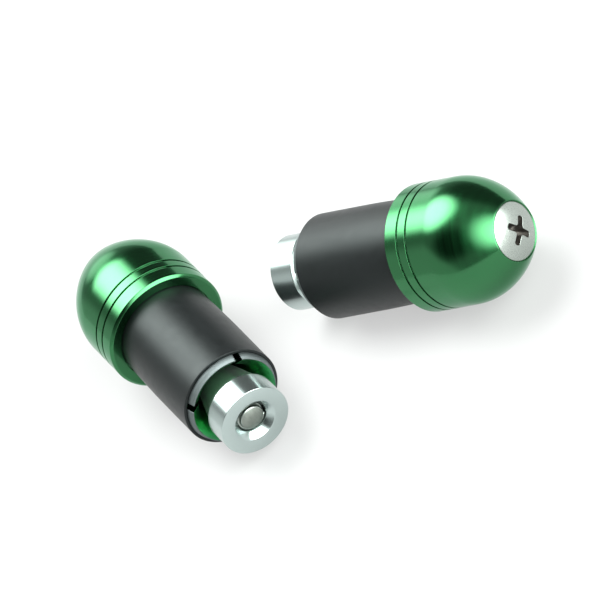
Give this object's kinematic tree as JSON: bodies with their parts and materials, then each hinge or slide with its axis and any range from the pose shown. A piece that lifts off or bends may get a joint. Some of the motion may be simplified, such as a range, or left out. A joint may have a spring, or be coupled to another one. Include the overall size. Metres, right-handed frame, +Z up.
{
  "type": "handlebar end plug",
  "caption": "Domed anodised end plugs for handlebar tubes, each held by a screw, wedge nut, split collet and rubber sleeve.",
  "frame": {"origin": "centre of the pair's bounding box, on the surface that both plugs lie on", "axes": "+Z up; -Y the heading of the left plug's axis, from cap to nut, seen from above; +X to the right"},
  "size_m": [0.075, 0.0818, 0.0246],
  "materials": {
    "green_anodised_aluminium": "polished and green anodised",
    "stainless_steel": "satin stainless",
    "turned_aluminium": "fine turned, bare",
    "black_rubber": "smooth matte"
  },
  "bodies": {
    "left_plug": {"left_end_cap": "green_anodised_aluminium", "left_split_collet": "green_anodised_aluminium", "left_rubber_sleeve": "black_rubber"},
    "left_screw": {"left_clamp_screw": "stainless_steel"},
    "left_nut": {"left_wedge_nut": "turned_aluminium"},
    "right_plug": {"right_end_cap": "green_anodised_aluminium", "right_split_collet": "green_anodised_aluminium", "right_rubber_sleeve": "black_rubber"},
    "right_screw": {"right_clamp_screw": "stainless_steel"},
    "right_nut": {"right_wedge_nut": "turned_aluminium"}
  },
  "joints": [
    {"name": "left_screw_turn", "type": "hinge", "parent": "left_plug", "child": "left_screw", "pos_m": [-0.02564, 0.01765, 0.01181], "axis": [0, -0.9963, -0.0854], "range_deg": [-1440, 1440]},
    {"name": "left_nut_slide", "type": "slide", "parent": "left_plug", "child": "left_nut", "axis": [0, 0.9963, 0.0854], "range_m": [-0.004, 0.004]},
    {"name": "right_screw_turn", "type": "hinge", "parent": "right_plug", "child": "right_screw", "pos_m": [0.01913, -0.02, 0.01181], "axis": [-0.6168, 0.7824, -0.0854], "range_deg": [-1440, 1440]},
    {"name": "right_nut_slide", "type": "slide", "parent": "right_plug", "child": "right_nut", "axis": [0.6168, -0.7824, 0.0854], "range_m": [-0.004, 0.004]},
    {"name": "right_plug_place", "type": "slide", "parent": "left_plug", "child": "right_plug", "axis": [1, 0, 0], "range_m": [0, 0.06]}
  ],
  "couplings": [
    {"joint": "left_nut_slide", "follows": "left_screw_turn", "m_per_rad": 0.00015915},
    {"joint": "right_nut_slide", "follows": "right_screw_turn", "m_per_rad": 0.00015915}
  ]
}
